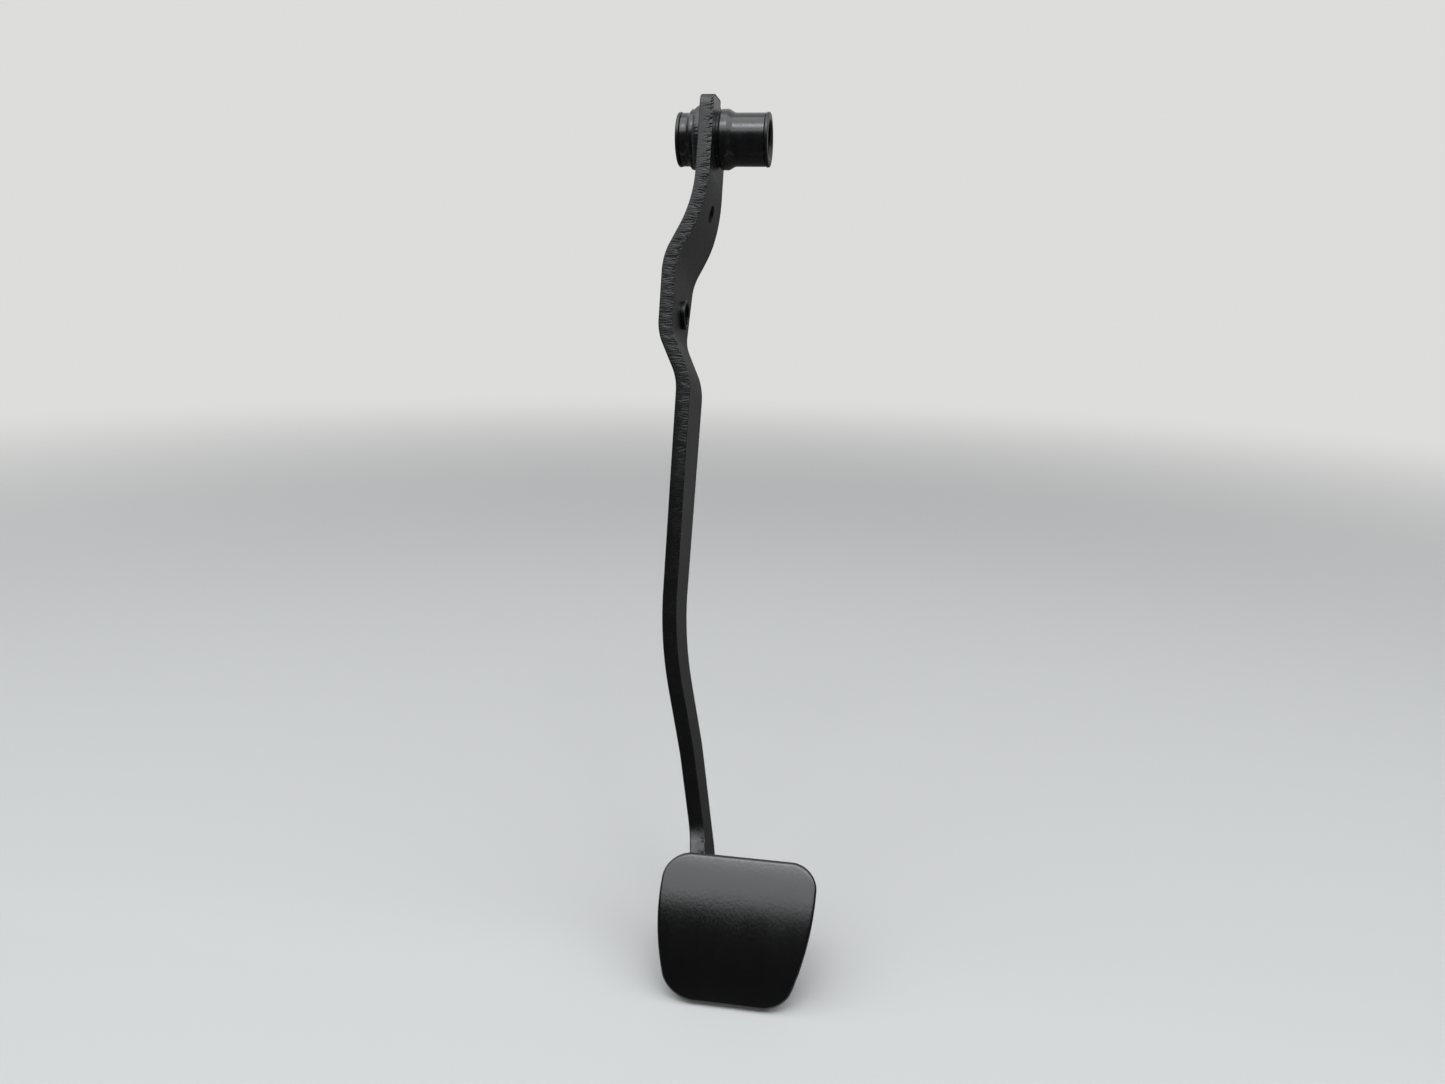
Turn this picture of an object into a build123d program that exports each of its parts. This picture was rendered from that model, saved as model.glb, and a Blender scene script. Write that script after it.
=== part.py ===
from build123d import *
import os
from math import asin, cos, degrees, radians, sin, tan

# A hanging brake pedal: a joggled steel lever on a pivot tube, with a curved steel foot plate.
# The origin is the middle of the pivot tube, +X runs along the pivot, +Z is up and the driver
# sits on the -Y side. All sizes are in millimetres and degrees.

os.makedirs("parts", exist_ok=True)

# Pivot tube of steel, upset into a collar each side of the lever, which traps it
tube_diameter = 24.0
tube_bore = 20.0
left_tube_stub = 3.55
right_tube_stub = 14.75
collar_diameter = 27.3
left_collar_length = 5.9
left_collar_taper = 1.4
right_collar_length = 5.0
right_collar_taper = 2.9
undercut_width = 1.5
undercut_depth = 0.9

# Plastic bushes in the tube ends
pivot_bore = 16.0
pivot_bush_depth = 14.0
pivot_flange_diameter = 24.6
pivot_flange_thickness = 1.7
pivot_flange_chamfer = 0.5
pivot_lead_in = 1.0

# Lever plate: its lean, its thickness and where its middle plane crosses the pivot
lever_lean = 16.0
plate_thickness = 6.5
lever_offset = -5.9

# Joggles of the lever, as places down the lever and sideways offsets of its middle plane
joggle_start = 35.8
joggle_end = 62.3
joggle_offset = -18.6
return_start = 96.0
return_end = 116.9
lower_offset = -8.5
kick_start = 236.0
kick_angle = 14.0
kick_ease = 285.0
foot_angle = 11.1
joggle_start_radius = 65.0
joggle_radius = 28.0
return_radius = 22.0
kick_radius = 180.0
kick_ease_radius = 120.0

# Blank outline of the lever, down the lever and from the pivot towards the driver
front_edge = 20.0
lug_front = 13.5
lug_top = 17.8
lug_back = 2.0
head_top = 14.8
head_back = 18.0
lug_front_radius = 3.5
lug_back_radius = 1.3
lug_root_radius = 1.0
head_back_radius = 12.0
waist_place = 25.0
waist_back = 17.8
belly_place = 55.0
belly_back = 27.0
knee_place = 106.0
knee_back = 13.5
shin_place = 215.0
shin_back = 5.8
ankle_place = 334.0
ankle_width = 19.2
flare_place = 320.0
heel_place = 362.0
heel_width = 17.0
waist_radius = 40.0
belly_radius = 45.0
knee_radius = 150.0
shin_radius = 200.0
ankle_radius = 20.0
flare_radius = 14.0
heel_radius = 8.0
punched_edge_chamfer = 0.5

# Holes in the lever
spring_hole_diameter = 8.0
spring_hole_run = 34.9
spring_hole_back = 0.6
pushrod_place = 83.0
pushrod_back = 3.6

# Pushrod bush
pushrod_bore = 10.0
pushrod_bush_wall = 1.0
pushrod_head_diameter = 13.8
pushrod_head_height = 2.0
pushrod_lip_diameter = 13.2
pushrod_lip_height = 0.8
pushrod_edge_chamfer = 0.4
pushrod_lead_in = 0.4

# Foot plate: pressed sheet, curved about an axis along X
foot_thickness = 3.5
foot_radius = 110.0
foot_lean = 30.0
foot_height = 60.0
foot_top_width = 65.0
foot_bottom_width = 48.1
foot_skew = 2.05
foot_side_bulge = 4.0
foot_offset = 32.3
foot_place = 354.6
foot_ahead = 40.2
foot_top_corner = 11.0
foot_outer_corner = 8.0
foot_inner_corner = 10.0
foot_front_chamfer = 0.9
foot_joint_top = 3.0
foot_joint_bottom = 4.0

# Welds
hub_weld_along = 5.0
hub_weld_up = 2.4
hub_weld_bulge = 0.6
hub_weld_start = 86.0
hub_weld_arc = 260.0
foot_weld_leg = 3.2
foot_weld_top_gap = 5.0
foot_weld_bottom_gap = 6.0

# Directions down the lever and across it towards the driver
lean = radians(lever_lean)
down = Vector(0, -sin(lean), -cos(lean))
ahead = Vector(0, -cos(lean), sin(lean))
side_plane = Plane(origin=(0, 0, 0), x_dir=down, z_dir=(-1, 0, 0))
bend_plane = Plane(origin=(0, 0, 0), x_dir=down, z_dir=ahead)

# Faces of the lever at the pivot, which the tube's collar and the weld seat on
hub_left = lever_offset - plate_thickness / 2
hub_right = lever_offset + plate_thickness / 2
collar_left = hub_left - left_collar_length
collar_right = hub_right + right_collar_length
tube_left = collar_left - left_collar_taper - left_tube_stub
tube_right = collar_right + right_collar_taper + right_tube_stub
tube_radius = tube_diameter / 2
collar_radius = collar_diameter / 2

# Centre of the foot plate's curve, as a place on the lever's side plane
foot_tilt = radians(foot_lean - lever_lean)
foot_back_radius = foot_radius - foot_thickness
foot_axis = (foot_place + foot_radius * sin(foot_tilt), foot_ahead - foot_radius * cos(foot_tilt))


def on_foot_back(angle):
    """Point of the side plane on the back of the foot plate, at an angle above its axis."""
    return (
        foot_axis[0] - foot_back_radius * sin(radians(angle)),
        foot_axis[1] + foot_back_radius * cos(radians(angle)),
    )


def foot_back_at(place):
    """Point of the side plane on the back of the foot plate, at a place down the lever."""
    return on_foot_back(degrees(asin((foot_axis[0] - place) / foot_back_radius)))


half_foot = degrees(asin(foot_height / 2 / foot_radius))
foot_top_angle = foot_lean - lever_lean + half_foot
joint_top = on_foot_back(foot_top_angle - degrees(foot_joint_top / foot_back_radius))
joint_bottom = foot_back_at(heel_place + foot_joint_bottom)
blank_end = foot_ahead + plate_thickness


# Lever: the plate is bent along its length, then cut to the outline of its blank
kick_offset = lower_offset + (kick_ease - kick_start) * tan(radians(kick_angle))
strip_start = -lug_top - plate_thickness
strip_end = heel_place + 3 * plate_thickness
strip_offset = kick_offset + (strip_end - kick_ease) * tan(radians(foot_angle))
strip_width = 2 * (foot_ahead + belly_back)
side_reach = abs(joggle_offset) + abs(strip_offset) + plate_thickness
pushrod_centre = down * pushrod_place - ahead * pushrod_back + Vector(joggle_offset, 0, 0)
to_plate_face = Vector(plate_thickness / 2, 0, 0)
pushrod_body_diameter = pushrod_bore + 2 * pushrod_bush_wall

with BuildPart() as lever_arm:
    with BuildSketch(bend_plane):
        with BuildLine() as midline:
            FilletPolyline(
                (strip_start, lever_offset),
                (joggle_start, lever_offset),
                (joggle_end, joggle_offset),
                (return_start, joggle_offset),
                (return_end, lower_offset),
                (kick_start, lower_offset),
                (kick_ease, kick_offset),
                (strip_end, strip_offset),
                radius=[
                    joggle_start_radius,
                    joggle_radius,
                    return_radius,
                    joggle_radius,
                    kick_radius,
                    kick_ease_radius,
                ],
            )
        trace(line_width=plate_thickness)
    extrude(amount=strip_width / 2, both=True)
    with BuildSketch(side_plane):
        with BuildLine():
            FilletPolyline(
                joint_top,
                (flare_place, front_edge),
                (-lug_front, front_edge),
                (-lug_top, lug_back),
                (-head_top, lug_back),
                (-head_top, -head_back),
                (waist_place, -waist_back),
                (belly_place, -belly_back),
                (knee_place, -knee_back),
                (shin_place, -shin_back),
                (ankle_place, front_edge - ankle_width),
                (heel_place, foot_back_at(heel_place)[1] - heel_width),
                joint_bottom,
                radius=[
                    flare_radius,
                    lug_front_radius,
                    lug_back_radius,
                    lug_root_radius,
                    head_back_radius,
                    waist_radius,
                    belly_radius,
                    knee_radius,
                    shin_radius,
                    ankle_radius,
                    heel_radius,
                ],
            )
            Polyline(joint_bottom, (joint_bottom[0], blank_end), (joint_top[0], blank_end), joint_top)
        make_face()
    extrude(amount=side_reach, both=True, mode=Mode.INTERSECT)
    blank_end_face = lever_arm.faces().sort_by(Axis((0, 0, 0), ahead))[-1]
    bend_lines = lever_arm.edges().filter_by(Axis((0, 0, 0), ahead))
    cross_edges = lever_arm.edges().filter_by(Axis.X)
    left_faces = lever_arm.faces().filter_by(lambda face: face.normal_at().X < cos(radians(135)))
    chamfer(left_faces.edges() - bend_lines - cross_edges - blank_end_face.edges(), length=punched_edge_chamfer)
    with BuildSketch(side_plane):
        with BuildLine():
            ThreePointArc(joint_bottom, foot_back_at((joint_top[0] + joint_bottom[0]) / 2), joint_top)
            Polyline(joint_top, (joint_top[0], blank_end), (joint_bottom[0], blank_end), joint_bottom)
        make_face()
    extrude(amount=side_reach, both=True, mode=Mode.SUBTRACT)
    with Locations(Plane.YZ):
        Hole(radius=tube_radius)
    with Locations(Plane(origin=pushrod_centre, z_dir=(1, 0, 0))):
        Hole(radius=pushrod_body_diameter / 2)
    spring_run = spring_hole_run - strip_start
    spring_spot = midline.wire().position_at(spring_run, PositionMode.LENGTH)
    spring_heading = midline.wire().tangent_at(spring_run, PositionMode.LENGTH)
    spring_centre = bend_plane.from_local_coords(spring_spot) - ahead * spring_hole_back
    spring_axis = bend_plane.from_local_coords(spring_heading).cross(ahead)
    with Locations(Plane(origin=spring_centre, z_dir=spring_axis)):
        Hole(radius=spring_hole_diameter / 2)
lever_arm.part.label = "lever_arm"
export_step(lever_arm.part, "parts/lever_arm.step")


# Pivot tube: one piece with the collars that trap the lever, hollow right through
undercut_radius = collar_radius - undercut_depth

with BuildPart() as pivot_tube:
    with BuildSketch(Plane.XZ):
        with BuildLine():
            Polyline(
                (tube_left, tube_bore / 2),
                (tube_left, tube_radius),
                (collar_left - left_collar_taper, tube_radius),
                (collar_left, collar_radius),
                (hub_left, collar_radius),
                (hub_left, tube_radius),
                (hub_right, tube_radius),
                (hub_right, undercut_radius),
                (hub_right + undercut_width, undercut_radius),
                (hub_right + undercut_width, collar_radius),
                (collar_right, collar_radius),
                (collar_right + right_collar_taper, tube_radius),
                (tube_right, tube_radius),
                (tube_right, tube_bore / 2),
                close=True,
            )
        make_face()
    revolve(axis=Axis.X)
pivot_tube.part.label = "pivot_tube"
export_step(pivot_tube.part, "parts/pivot_tube.step")


# Weld between the left collar and the left face of the lever, from the lug round the front
weld_start = radians(hub_weld_start)

with BuildPart() as hub_weld:
    with BuildSketch(Plane(origin=(0, 0, 0), x_dir=(1, 0, 0), z_dir=(0, -sin(weld_start), cos(weld_start)))):
        with BuildLine():
            Line((hub_left - hub_weld_along, collar_radius), (hub_left, collar_radius))
            Line((hub_left, collar_radius), (hub_left, collar_radius + hub_weld_up))
            Polyline(
                (hub_left, collar_radius + hub_weld_up),
                (hub_left - hub_weld_along / 2, collar_radius + hub_weld_up / 2 + hub_weld_bulge),
                (hub_left - hub_weld_along, collar_radius),
            )
        make_face()
    revolve(axis=Axis.X, revolution_arc=hub_weld_arc)
hub_weld.part.label = "hub_weld"
export_step(hub_weld.part, "parts/hub_weld.step")


# Pivot bushes: the same flanged bush pushed into each end of the tube
with BuildPart() as right_pivot_bush:
    with BuildSketch(Plane(origin=(tube_right - pivot_bush_depth, 0, 0), z_dir=(1, 0, 0))):
        Circle(radius=tube_bore / 2)
    extrude(amount=pivot_bush_depth)
    with BuildSketch(Plane(origin=(tube_right, 0, 0), z_dir=(1, 0, 0))):
        Circle(radius=pivot_flange_diameter / 2)
    extrude(amount=pivot_flange_thickness)
    chamfer(right_pivot_bush.faces().sort_by(Axis.X)[-1].edges(), length=pivot_flange_chamfer)
    with Locations(Plane(origin=(tube_right, 0, 0), z_dir=(1, 0, 0))):
        Hole(radius=pivot_bore / 2)
    chamfer(right_pivot_bush.faces().sort_by(Axis.X)[-1].inner_wires().edges(), length=pivot_lead_in)
right_pivot_bush.part.label = "right_pivot_bush"
export_step(right_pivot_bush.part, "parts/right_pivot_bush.step")

with BuildPart() as left_pivot_bush:
    add(right_pivot_bush.part.mirror(Plane.YZ.offset((tube_left + tube_right) / 2)))
left_pivot_bush.part.label = "left_pivot_bush"
export_step(left_pivot_bush.part, "parts/left_pivot_bush.step")


# Pushrod bush: headed on the right, spread into a lip on the left
with BuildPart() as pushrod_bush:
    with BuildSketch(Plane(origin=pushrod_centre + to_plate_face, z_dir=(1, 0, 0))):
        Circle(radius=pushrod_head_diameter / 2)
    extrude(amount=pushrod_head_height)
    chamfer(pushrod_bush.faces().sort_by(Axis.X)[-1].edges(), length=pushrod_edge_chamfer)
    with BuildSketch(Plane(origin=pushrod_centre - to_plate_face, z_dir=(-1, 0, 0))):
        Circle(radius=pushrod_lip_diameter / 2)
    extrude(amount=pushrod_lip_height)
    chamfer(pushrod_bush.faces().sort_by(Axis.X)[0].edges(), length=pushrod_edge_chamfer)
    with BuildSketch(Plane(origin=pushrod_centre - to_plate_face, z_dir=(1, 0, 0))):
        Circle(radius=pushrod_body_diameter / 2)
    extrude(amount=plate_thickness)
    with Locations(Plane(origin=pushrod_centre, z_dir=(1, 0, 0))):
        Hole(radius=pushrod_bore / 2)
    chamfer(pushrod_bush.faces().sort_by(Axis.X)[-1].inner_wires().edges(), length=pushrod_lead_in)
pushrod_bush.part.label = "pushrod_bush"
export_step(pushrod_bush.part, "parts/pushrod_bush.step")


# Foot plate: a curved sheet cut to a tapering outline with bowed sides
foot_front = down * foot_place + ahead * foot_ahead + Vector(foot_offset, 0, 0)
foot_normal = Vector(0, -cos(radians(foot_lean)), sin(radians(foot_lean)))
foot_plane = Plane(origin=foot_front, x_dir=(1, 0, 0), z_dir=foot_normal)
top_half = foot_top_width / 2
bottom_half = foot_bottom_width / 2
foot_half = foot_height / 2

with BuildPart() as foot_plate:
    with BuildSketch(side_plane):
        with Locations(foot_axis):
            Circle(radius=foot_radius)
            Circle(radius=foot_back_radius, mode=Mode.SUBTRACT)
    extrude(amount=side_reach + foot_offset + top_half, both=True)
    with BuildSketch(foot_plane) as foot_outline:
        with BuildLine():
            Line((-top_half, foot_half), (top_half, foot_half))
            SagittaArc((top_half, foot_half), (bottom_half - foot_skew, -foot_half), foot_side_bulge)
            Line((bottom_half - foot_skew, -foot_half), (-bottom_half - foot_skew, -foot_half))
            SagittaArc((-bottom_half - foot_skew, -foot_half), (-top_half, foot_half), foot_side_bulge)
        make_face()
        fillet(foot_outline.vertices().group_by(Axis.Y)[-1], radius=foot_top_corner)
        fillet(foot_outline.vertices().group_by(Axis.Y)[0].sort_by(Axis.X)[0], radius=foot_inner_corner)
        fillet(foot_outline.vertices().group_by(Axis.Y)[0].sort_by(Axis.X)[-1], radius=foot_outer_corner)
    extrude(amount=foot_radius / 4, both=True, mode=Mode.INTERSECT)
    broad_faces = foot_plate.faces().sort_by(SortBy.AREA)[-2:]
    chamfer(broad_faces.sort_by(Axis((0, 0, 0), foot_normal))[-1].edges(), length=foot_front_chamfer)
foot_plate.part.label = "foot_plate"
export_step(foot_plate.part, "parts/foot_plate.step")


# Foot plate welds: a bead each side of the lever, from its left and right faces to the plate
weld_slope = tan(radians(foot_angle))
weld_top = joint_top[0] + foot_weld_top_gap
weld_bottom = joint_bottom[0] - foot_weld_bottom_gap
face_offset = plate_thickness / 2 / cos(radians(foot_angle))


def on_foot_joint(place, side):
    """Point where a face of the lever meets the back of the foot plate, side -1 left or 1 right."""
    sideways = kick_offset + (place - kick_ease) * weld_slope + side * face_offset
    return down * place + ahead * foot_back_at(place)[1] + Vector(sideways, 0, 0)


with BuildPart() as foot_plate_weld_left:
    with BuildLine() as left_seam:
        ThreePointArc(
            on_foot_joint(weld_top, -1),
            on_foot_joint((weld_top + weld_bottom) / 2, -1),
            on_foot_joint(weld_bottom, -1),
        )
    with BuildSketch(Plane(left_seam.line @ 0, z_dir=left_seam.line % 0)):
        Circle(radius=foot_weld_leg)
    sweep()
    add(lever_arm.part, mode=Mode.SUBTRACT)
    add(foot_plate.part, mode=Mode.SUBTRACT)
foot_plate_weld_left.part.label = "foot_plate_weld_left"
export_step(foot_plate_weld_left.part, "parts/foot_plate_weld_left.step")

with BuildPart() as foot_plate_weld_right:
    with BuildLine() as right_seam:
        ThreePointArc(
            on_foot_joint(weld_top, 1),
            on_foot_joint((weld_top + weld_bottom) / 2, 1),
            on_foot_joint(weld_bottom, 1),
        )
    with BuildSketch(Plane(right_seam.line @ 0, z_dir=right_seam.line % 0)):
        Circle(radius=foot_weld_leg)
    sweep()
    add(lever_arm.part, mode=Mode.SUBTRACT)
    add(foot_plate.part, mode=Mode.SUBTRACT)
foot_plate_weld_right.part.label = "foot_plate_weld_right"
export_step(foot_plate_weld_right.part, "parts/foot_plate_weld_right.step")
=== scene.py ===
import math

import bpy
import numpy as np
from mathutils import Matrix, Vector


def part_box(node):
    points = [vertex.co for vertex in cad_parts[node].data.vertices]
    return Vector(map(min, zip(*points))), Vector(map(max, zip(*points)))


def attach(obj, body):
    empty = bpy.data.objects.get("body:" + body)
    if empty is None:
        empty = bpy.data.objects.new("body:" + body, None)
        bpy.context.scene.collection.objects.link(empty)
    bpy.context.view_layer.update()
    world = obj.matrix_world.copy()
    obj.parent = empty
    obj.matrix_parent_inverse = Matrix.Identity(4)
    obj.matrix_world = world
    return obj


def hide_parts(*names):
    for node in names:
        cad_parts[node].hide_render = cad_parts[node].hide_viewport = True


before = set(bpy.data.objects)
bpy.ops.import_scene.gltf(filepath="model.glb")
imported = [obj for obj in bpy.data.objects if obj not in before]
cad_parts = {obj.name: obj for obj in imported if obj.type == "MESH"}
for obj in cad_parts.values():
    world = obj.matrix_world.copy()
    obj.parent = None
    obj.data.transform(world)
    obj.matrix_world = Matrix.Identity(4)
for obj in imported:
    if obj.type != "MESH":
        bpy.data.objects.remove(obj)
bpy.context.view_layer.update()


# Lever paint. The lever is cut from hot-rolled steel plate, bent cold, and coated in satin
# black together with everything that is welded to it. The coat is thin, so the fine grain of
# the steel shows through it as a soft mottle in the sheen.

def linear(*srgb):
    """A colour written in the 0 to 255 steps of a picture, as the linear values of a shader."""
    share = np.array(srgb, float) / 255.0
    return (*np.where(share <= 0.04045, share / 12.92, ((share + 0.055) / 1.055) ** 2.4), 1.0)


def wire_up(tree, kind, name, **inputs):
    """Adds a node to a tree, sets its properties (set_) and its inputs by name or number (in_), and
    links those inputs that are given as sockets."""
    node = tree.nodes.new(kind)
    node.label = name
    for key, value in inputs.items():
        if key.startswith("set_"):
            setattr(node, key[4:], value)
            continue
        socket = node.inputs[int(key[3:])] if key.startswith("in_") else node.inputs[key.replace("_", " ")]
        if isinstance(value, bpy.types.NodeSocket):
            tree.links.new(value, socket)
        else:
            socket.default_value = value
    return node


def coat_group():
    """Shared satin coat: fine grain and broad clouds of sheen from noise on object coordinates."""
    cloud_sheen, grain_sheen = 0.035, 0.04
    noise_low, noise_high = 0.3, 0.7
    group = bpy.data.node_groups.new("satin coat", "ShaderNodeTree")
    face = group.interface
    face.new_socket("Place", in_out="INPUT", socket_type="NodeSocketVector")
    face.new_socket("Tone", in_out="INPUT", socket_type="NodeSocketColor")
    face.new_socket("Lighter Tone", in_out="INPUT", socket_type="NodeSocketColor")
    for label in ("Sheen Spread", "Grain Size", "Cloud Size", "Grain Depth"):
        face.new_socket(label, in_out="INPUT", socket_type="NodeSocketFloat")
    face.new_socket("Color", in_out="OUTPUT", socket_type="NodeSocketColor")
    face.new_socket("Roughness", in_out="OUTPUT", socket_type="NodeSocketFloat")
    face.new_socket("Height", in_out="OUTPUT", socket_type="NodeSocketFloat")
    given = wire_up(group, "NodeGroupInput", "given")
    grain = wire_up(group, "ShaderNodeTexNoise", "grain", Vector=given.outputs["Place"],
                    Scale=given.outputs["Grain Size"], Detail=3.0, Roughness=0.6)
    cloud = wire_up(group, "ShaderNodeTexNoise", "clouds", Vector=given.outputs["Place"],
                    Scale=given.outputs["Cloud Size"], Detail=4.0, Roughness=0.55)
    tone = wire_up(group, "ShaderNodeMix", "tone", set_data_type="RGBA", in_0=cloud.outputs["Fac"],
                   in_6=given.outputs["Tone"], in_7=given.outputs["Lighter Tone"])
    spread = wire_up(group, "ShaderNodeMapRange", "clouds in sheen", Value=cloud.outputs["Fac"],
                     From_Min=noise_low, From_Max=noise_high, To_Min=-cloud_sheen, To_Max=cloud_sheen)
    fine = wire_up(group, "ShaderNodeMapRange", "grain in sheen", Value=grain.outputs["Fac"],
                   From_Min=noise_low, From_Max=noise_high, To_Min=-grain_sheen, To_Max=grain_sheen)
    both = wire_up(group, "ShaderNodeMath", "both", set_operation="ADD",
                   in_0=spread.outputs["Result"], in_1=fine.outputs["Result"])
    rough = wire_up(group, "ShaderNodeMath", "spread", set_operation="ADD",
                    in_0=both.outputs[0], in_1=given.outputs["Sheen Spread"])
    height = wire_up(group, "ShaderNodeMath", "height", set_operation="MULTIPLY",
                     in_0=grain.outputs["Fac"], in_1=given.outputs["Grain Depth"])
    out = wire_up(group, "NodeGroupOutput", "out")
    group.links.new(tone.outputs[2], out.inputs["Color"])
    group.links.new(rough.outputs[0], out.inputs["Roughness"])
    group.links.new(height.outputs[0], out.inputs["Height"])
    return group


satin_coat = coat_group()


def coated(name, tone, lighter, spread, grain, cloud, depth, stretch=(1.0, 1.0, 1.0), ior=1.6):
    """A coated finish: object coordinates, stretched where the grain runs, into the satin coat. Spread
    is the roughness, grain and cloud are the scales of the two noises, and depth is the grain's height."""
    mat = bpy.data.materials.new(name)
    mat.use_nodes = True
    tree = mat.node_tree
    shader = tree.nodes["Principled BSDF"]
    coords = wire_up(tree, "ShaderNodeTexCoord", "place")
    place = wire_up(tree, "ShaderNodeMapping", "grain direction", Vector=coords.outputs["Object"],
                    Scale=stretch)
    coat = wire_up(tree, "ShaderNodeGroup", "coat", set_node_tree=satin_coat, Tone=tone,
                   Lighter_Tone=lighter, Sheen_Spread=spread, Grain_Size=grain, Cloud_Size=cloud,
                   Grain_Depth=depth, Place=place.outputs["Vector"])
    bump = wire_up(tree, "ShaderNodeBump", "grain relief", Height=coat.outputs["Height"],
                   Strength=0.35, Distance=0.0001)
    tree.links.new(coat.outputs["Color"], shader.inputs["Base Color"])
    tree.links.new(coat.outputs["Roughness"], shader.inputs["Roughness"])
    tree.links.new(bump.outputs["Normal"], shader.inputs["Normal"])
    shader.inputs["IOR"].default_value = ior
    return mat


def dress(node, mat):
    """Gives a CAD node its finish in every slot."""
    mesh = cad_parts[node].data
    if not mesh.materials:
        mesh.materials.append(mat)
    for i in range(len(mesh.materials)):
        mesh.materials[i] = mat


lever_paint = coated("lever_paint", linear(20, 20, 21), linear(29, 29, 30),
                     spread=0.30, grain=1400.0, cloud=70.0, depth=0.6)
dress("lever_arm", lever_paint)


# Sheared rim of the lever. The blank is punched from the plate, which leaves a smooth band on
# the punch side, a torn band with ridges across it on the die side, and ragged notches along
# the right-hand corner. The tearing is coarse round the head and fades out down the lever.

lever_lean, plate_thickness = 16.0, 6.5
lean = math.radians(lever_lean)
down = np.array([0.0, -math.sin(lean), -math.cos(lean)])
ahead = np.array([0.0, -math.cos(lean), math.sin(lean)])
cross_axis = np.array([1.0, 0.0, 0.0])


def rounded_line(points, radii, step):
    """Points along straight runs joined by tangent arcs. At a corner with turn t and radius r the
    arc starts r tan(t/2) before the corner, and its centre lies r to the inner side of the run."""
    points = np.array(points, float)
    pieces = [points[:1]]
    here = points[0]
    for before, corner, after, r in zip(points[:-2], points[1:-1], points[2:], radii):
        into = (corner - before) / np.linalg.norm(corner - before)
        out_of = (after - corner) / np.linalg.norm(after - corner)
        turn = math.acos(np.clip(into @ out_of, -1, 1))
        side = math.copysign(1.0, into[0] * out_of[1] - into[1] * out_of[0])
        start = corner - into * r * math.tan(turn / 2)
        steps = max(2, int(np.linalg.norm(start - here) / step))
        pieces.append(here + (start - here) * np.linspace(0, 1, steps + 1)[1:, None])
        centre = start + side * r * np.array([-into[1], into[0]])
        steps = max(4, int(r * turn / step))
        angle = side * np.linspace(0, turn, steps + 1)[1:]
        arm = start - centre
        arc = np.stack([arm[0] * np.cos(angle) - arm[1] * np.sin(angle),
                        arm[0] * np.sin(angle) + arm[1] * np.cos(angle)], 1)
        pieces.append(centre + arc)
        here = pieces[-1][-1]
    steps = max(2, int(np.linalg.norm(points[-1] - here) / step))
    pieces.append(here + (points[-1] - here) * np.linspace(0, 1, steps + 1)[1:, None])
    return np.concatenate(pieces)


lever_offset, joggle_offset, lower_offset = -5.9, -18.6, -8.5
joggle_start, joggle_end, return_start, return_end = 35.8, 62.3, 96.0, 116.9
kick_start, kick_ease, head_end, toe_end = 236.0, 285.0, -26.0, 382.0
kick_angle, foot_angle = 14.0, 11.1
joggle_start_radius, joggle_radius, return_radius = 65.0, 28.0, 22.0
kick_radius, kick_ease_radius = 180.0, 120.0
kick_sideways = lower_offset + (kick_ease - kick_start) * math.tan(math.radians(kick_angle))
toe_sideways = kick_sideways + (toe_end - kick_ease) * math.tan(math.radians(foot_angle))
middle = rounded_line(
    [(head_end, lever_offset), (joggle_start, lever_offset), (joggle_end, joggle_offset),
     (return_start, joggle_offset), (return_end, lower_offset), (kick_start, lower_offset),
     (kick_ease, kick_sideways), (toe_end, toe_sideways)],
    [joggle_start_radius, joggle_radius, return_radius, joggle_radius, kick_radius, kick_ease_radius],
    step=0.5)


def lever_middle(place):
    """Sideways place of the plate's middle at a place down the lever, and the plate's slope there."""
    slopes = np.diff(middle[:, 1]) / np.diff(middle[:, 0])
    return np.interp(place, middle[:, 0], middle[:, 1]), np.interp(place, middle[1:, 0], slopes)


def waves(x, y, seed, count, low, high, slant=0.25):
    """Sum of sine waves with random phases, lengths from low to high along x, and a little slant in y."""
    rng = np.random.default_rng(seed)
    length = rng.uniform(low, high, count)
    phase = rng.uniform(0, 2 * math.pi, count)
    lean_over = rng.normal(0, slant, count)
    arg = 2 * math.pi * (x[..., None] + lean_over * y[..., None]) / length + phase
    return np.sin(arg).sum(-1) / math.sqrt(count / 2)


def new_piece(name, points, faces, finish):
    """A smooth piece of the pedal from points in millimetres and faces, with its finish."""
    mesh = bpy.data.meshes.new(name)
    mesh.from_pydata((points / 1000.0).tolist(), [], faces)
    mesh.update()
    mesh.shade_smooth()
    piece = bpy.data.objects.new(name, mesh)
    bpy.context.scene.collection.objects.link(piece)
    mesh.materials.append(finish)
    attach(piece, "root")
    return piece


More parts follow.
